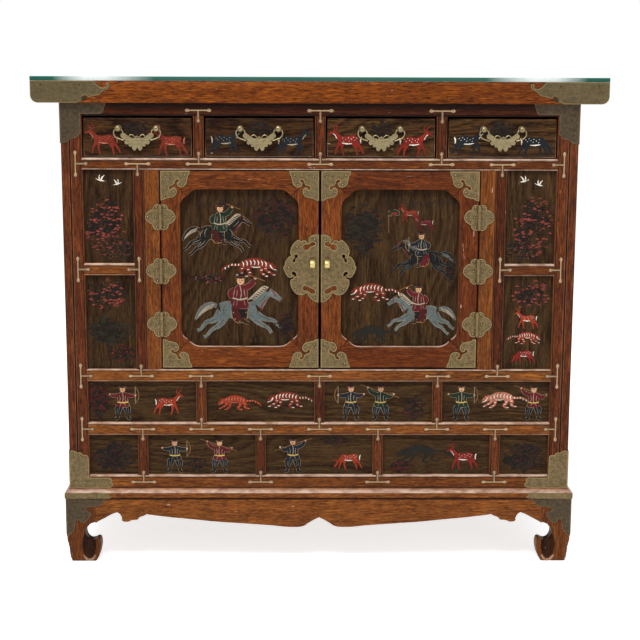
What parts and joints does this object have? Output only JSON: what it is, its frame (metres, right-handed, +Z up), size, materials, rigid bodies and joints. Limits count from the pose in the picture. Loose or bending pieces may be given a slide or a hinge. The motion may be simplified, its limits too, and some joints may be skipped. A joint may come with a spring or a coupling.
{
  "type": "korean scholars cabinet",
  "caption": "Low wide wooden cabinet with a row of drawers over hinged double doors, framed panels, brass corners, straps, hinges and lock plate, a shaped apron, curled feet and a glass top.",
  "frame": {"origin": "on the floor, under the middle of the top", "axes": "+X to the right along the length, +Y to the back, +Z up; the doors and drawers face -Y"},
  "size_m": [1.084, 0.424, 0.947],
  "materials": {
    "glass": "clear, with a green edge",
    "top_wood": "oiled, red brown",
    "frame_wood": "lacquered, dark red brown",
    "panel_wood": "dark, strongly grained and painted",
    "door_wood": "oiled, orange brown",
    "inside_wood": "plain and pale",
    "aged_brass": "dull and aged",
    "pull_brass": "pale and worn bright"
  },
  "bodies": {
    "case": {"glass_top": "glass", "top_board": "top_wood", "top_corner_brass": "aged_brass", "front_posts": "frame_wood", "rear_posts": "frame_wood", "front_rails": "frame_wood", "side_rails": "frame_wood", "drawer_stiles": "frame_wood", "side_stiles": "frame_wood", "door_jambs": "door_wood", "panel_stiles": "frame_wood", "side_panels": "panel_wood", "middle_panels": "panel_wood", "lower_panels": "panel_wood", "end_rails": "frame_wood", "end_panels": "panel_wood", "back_rails": "frame_wood", "back_panels": "inside_wood", "bottom_board": "inside_wood", "drawer_deck": "inside_wood", "drawer_guides": "inside_wood", "shelf": "inside_wood", "shelf_cleats": "inside_wood", "corner_brass": "aged_brass", "t_straps": "pull_brass", "base_moulding": "frame_wood", "legs": "frame_wood", "aprons": "frame_wood", "leg_brass": "aged_brass", "case_hinge_leaves": "aged_brass", "hinge_pins": "pull_brass"},
    "left_door": {"left_door_stiles": "door_wood", "left_door_rails": "door_wood", "left_door_panel": "panel_wood", "left_door_corners": "aged_brass", "left_door_leaves": "aged_brass", "left_lock": "aged_brass"},
    "right_door": {"right_door_stiles": "door_wood", "right_door_rails": "door_wood", "right_door_panel": "panel_wood", "right_door_corners": "aged_brass", "right_door_leaves": "aged_brass", "right_lock": "aged_brass"},
    "drawer_1": {"drawer_1_front": "panel_wood", "drawer_1_box": "inside_wood", "drawer_1_posts": "pull_brass"},
    "bail_1": {"drawer_1_bail": "pull_brass"},
    "drawer_2": {"drawer_2_front": "panel_wood", "drawer_2_box": "inside_wood", "drawer_2_posts": "pull_brass"},
    "bail_2": {"drawer_2_bail": "pull_brass"},
    "drawer_3": {"drawer_3_front": "panel_wood", "drawer_3_box": "inside_wood", "drawer_3_posts": "pull_brass"},
    "bail_3": {"drawer_3_bail": "pull_brass"},
    "drawer_4": {"drawer_4_front": "panel_wood", "drawer_4_box": "inside_wood", "drawer_4_posts": "pull_brass"},
    "bail_4": {"drawer_4_bail": "pull_brass"}
  },
  "joints": [
    {"name": "left_door_hinge", "type": "hinge", "parent": "case", "child": "left_door", "pos_m": [-0.304, -0.202, 0.5795], "axis": [0, 0, -1], "range_deg": [0, 165]},
    {"name": "right_door_hinge", "type": "hinge", "parent": "case", "child": "right_door", "pos_m": [0.304, -0.202, 0.5795], "axis": [0, 0, 1], "range_deg": [0, 165]},
    {"name": "drawer_1_slide", "type": "slide", "parent": "case", "child": "drawer_1", "axis": [0, -1, 0], "range_m": [0, 0.25]},
    {"name": "bail_1_hinge", "type": "hinge", "parent": "drawer_1", "child": "bail_1", "pos_m": [-0.345, -0.203, 0.8505], "axis": [-1, 0, 0], "range_deg": [0, 95]},
    {"name": "drawer_2_slide", "type": "slide", "parent": "case", "child": "drawer_2", "axis": [0, -1, 0], "range_m": [0, 0.25]},
    {"name": "bail_2_hinge", "type": "hinge", "parent": "drawer_2", "child": "bail_2", "pos_m": [-0.115, -0.203, 0.8505], "axis": [-1, 0, 0], "range_deg": [0, 95]},
    {"name": "drawer_3_slide", "type": "slide", "parent": "case", "child": "drawer_3", "axis": [0, -1, 0], "range_m": [0, 0.25]},
    {"name": "bail_3_hinge", "type": "hinge", "parent": "drawer_3", "child": "bail_3", "pos_m": [0.115, -0.203, 0.8505], "axis": [-1, 0, 0], "range_deg": [0, 95]},
    {"name": "drawer_4_slide", "type": "slide", "parent": "case", "child": "drawer_4", "axis": [0, -1, 0], "range_m": [0, 0.25]},
    {"name": "bail_4_hinge", "type": "hinge", "parent": "drawer_4", "child": "bail_4", "pos_m": [0.345, -0.203, 0.8505], "axis": [-1, 0, 0], "range_deg": [0, 95]}
  ]
}
